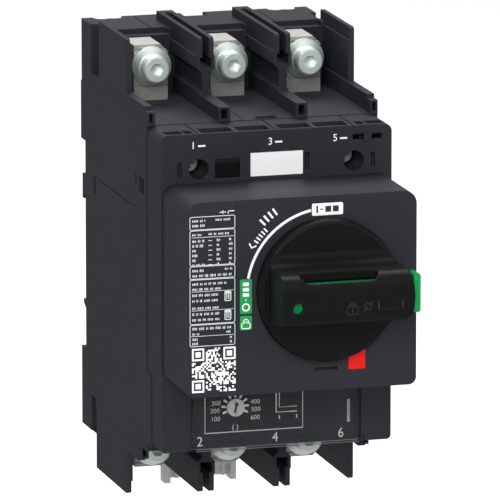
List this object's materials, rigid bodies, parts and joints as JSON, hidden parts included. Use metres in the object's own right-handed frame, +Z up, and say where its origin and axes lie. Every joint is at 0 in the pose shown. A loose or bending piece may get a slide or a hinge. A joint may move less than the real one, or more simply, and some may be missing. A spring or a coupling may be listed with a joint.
{
  "type": "motor protection breaker",
  "caption": "Rail-mounted motor protection breaker: black moulded case, raised rotary handle with padlock tab, trip button, settings dial under a clear flap, screw terminals above and below.",
  "frame": {"origin": "middle of the rear mounting plane, on the middle pole, half way up the case body", "axes": "+X to the right seen from the front, +Y to the rear (mounting surface), +Z up towards the line terminals"},
  "size_m": [0.081, 0.1525, 0.1677],
  "materials": {
    "housing_plastic": "matt, fine moulded grain",
    "handle_plastic": "satin, fine moulded grain",
    "green_plastic": "satin",
    "red_plastic": "satin",
    "white_label": "satin",
    "dial_plastic": "satin",
    "panel_film": "satin",
    "clear_plastic": "clear, glossy",
    "window_plastic": "smoked, glossy",
    "plated_steel": "zinc plated",
    "tin_plate": "tin plated, satin",
    "spring_steel": "drawn wire",
    "bare_steel": "pressed sheet",
    "copper": "bare copper",
    "contact_silver": "silver alloy",
    "latch_plastic": "light grey, satin",
    "inner_plastic": "glass filled, matt"
  },
  "bodies": {
    "housing": {"base_housing": "housing_plastic", "mid_housing": "housing_plastic", "front_cover": "housing_plastic", "handle_housing": "housing_plastic", "label_panel": "housing_plastic", "settings_panel": "panel_film", "mechanism_frame": "bare_steel", "mechanism_springs": "spring_steel", "trip_spring": "spring_steel", "id_label": "white_label", "window_lens": "window_plastic", "cover_screws": "plated_steel", "case_screws": "plated_steel", "terminal_screws": "plated_steel", "terminal_washers": "plated_steel", "terminal_nuts": "plated_steel", "line_terminal_1": "tin_plate", "line_terminal_2": "tin_plate", "line_terminal_3": "tin_plate", "load_terminal_1": "tin_plate", "load_terminal_2": "tin_plate", "load_terminal_3": "tin_plate", "fixed_tips": "contact_silver", "arc_chute_1": "bare_steel", "arc_chute_2": "bare_steel", "arc_chute_3": "bare_steel", "trip_coil_1": "copper", "trip_coil_2": "copper", "trip_coil_3": "copper", "latch_spring": "spring_steel"},
    "handle": {"rotary_handle": "handle_plastic", "handle_shaft": "bare_steel", "handle_clip": "spring_steel"},
    "padlock_tab": {"padlock_slide": "green_plastic"},
    "slider": {"drive_slider": "bare_steel"},
    "toggle": {"toggle_lever": "inner_plastic"},
    "contacts": {"contact_shaft": "inner_plastic", "moving_contact_1": "copper", "moving_contact_2": "copper", "moving_contact_3": "copper", "moving_tips": "contact_silver"},
    "test_button": {"trip_button": "red_plastic"},
    "trip_shaft": {"trip_bar": "inner_plastic"},
    "cover_flap": {"settings_cover": "clear_plastic"},
    "dial": {"settings_dial": "dial_plastic"},
    "lock": {"lock_screw": "housing_plastic"},
    "slide_knob": {"accessory_slide": "housing_plastic"},
    "rail_latch": {"din_latch": "latch_plastic"}
  },
  "joints": [
    {"name": "handle_turn", "type": "hinge", "parent": "housing", "child": "handle", "pos_m": [0.0082, -0.1327, 0.0074], "axis": [0, 1, 0], "range_deg": [0, 90]},
    {"name": "padlock_pull", "type": "slide", "parent": "handle", "child": "padlock_tab", "axis": [1, 0, 0], "range_m": [0, 0.007]},
    {"name": "slider_lift", "type": "slide", "parent": "housing", "child": "slider", "axis": [0, 0, 1], "range_m": [0, 0.0116], "stiffness_N_per_m": 0.05, "springref_m": 1.041},
    {"name": "toggle_swing", "type": "hinge", "parent": "housing", "child": "toggle", "pos_m": [0, -0.079, 0], "axis": [-1, 0, 0], "range_deg": [0, 28]},
    {"name": "contact_swing", "type": "hinge", "parent": "housing", "child": "contacts", "pos_m": [0, -0.04, -0.004], "axis": [-1, 0, 0], "range_deg": [0, 40.2]},
    {"name": "trip_press", "type": "slide", "parent": "housing", "child": "test_button", "axis": [0, 1, 0], "range_m": [0, 0.0025], "stiffness_N_per_m": 400, "springref_m": -0.002, "deforming": ["trip_spring"]},
    {"name": "trip_bar_swing", "type": "hinge", "parent": "housing", "child": "trip_shaft", "pos_m": [0, -0.08, -0.027], "axis": [-1, 0, 0], "range_deg": [0, 16]},
    {"name": "cover_swing", "type": "hinge", "parent": "housing", "child": "cover_flap", "pos_m": [0, -0.102, -0.052], "axis": [1, 0, 0], "range_deg": [0, 110]},
    {"name": "dial_turn", "type": "hinge", "parent": "housing", "child": "dial", "pos_m": [-0.0138, -0.101, -0.0389], "axis": [0, 1, 0], "range_deg": [-120, 120]},
    {"name": "lock_turn", "type": "hinge", "parent": "housing", "child": "lock", "pos_m": [0.0082, -0.13, -0.0198], "axis": [0, 1, 0], "range_deg": [0, 90]},
    {"name": "slide_move", "type": "slide", "parent": "housing", "child": "slide_knob", "axis": [1, 0, 0], "range_m": [-0.003, 0.003]},
    {"name": "latch_pull", "type": "slide", "parent": "housing", "child": "rail_latch", "axis": [0, 0, -1], "range_m": [0, 0.004], "stiffness_N_per_m": 2500, "springref_m": -0.002, "deforming": ["latch_spring"]}
  ],
  "couplings": [
    {"joint": "slider_lift", "follows": "handle_turn", "m_per_rad": 0.0072},
    {"joint": "toggle_swing", "follows": "handle_turn", "ratio": 0.302},
    {"joint": "contact_swing", "follows": "handle_turn", "ratio": 0.4444},
    {"joint": "trip_bar_swing", "follows": "trip_press", "rad_per_m": 110}
  ]
}
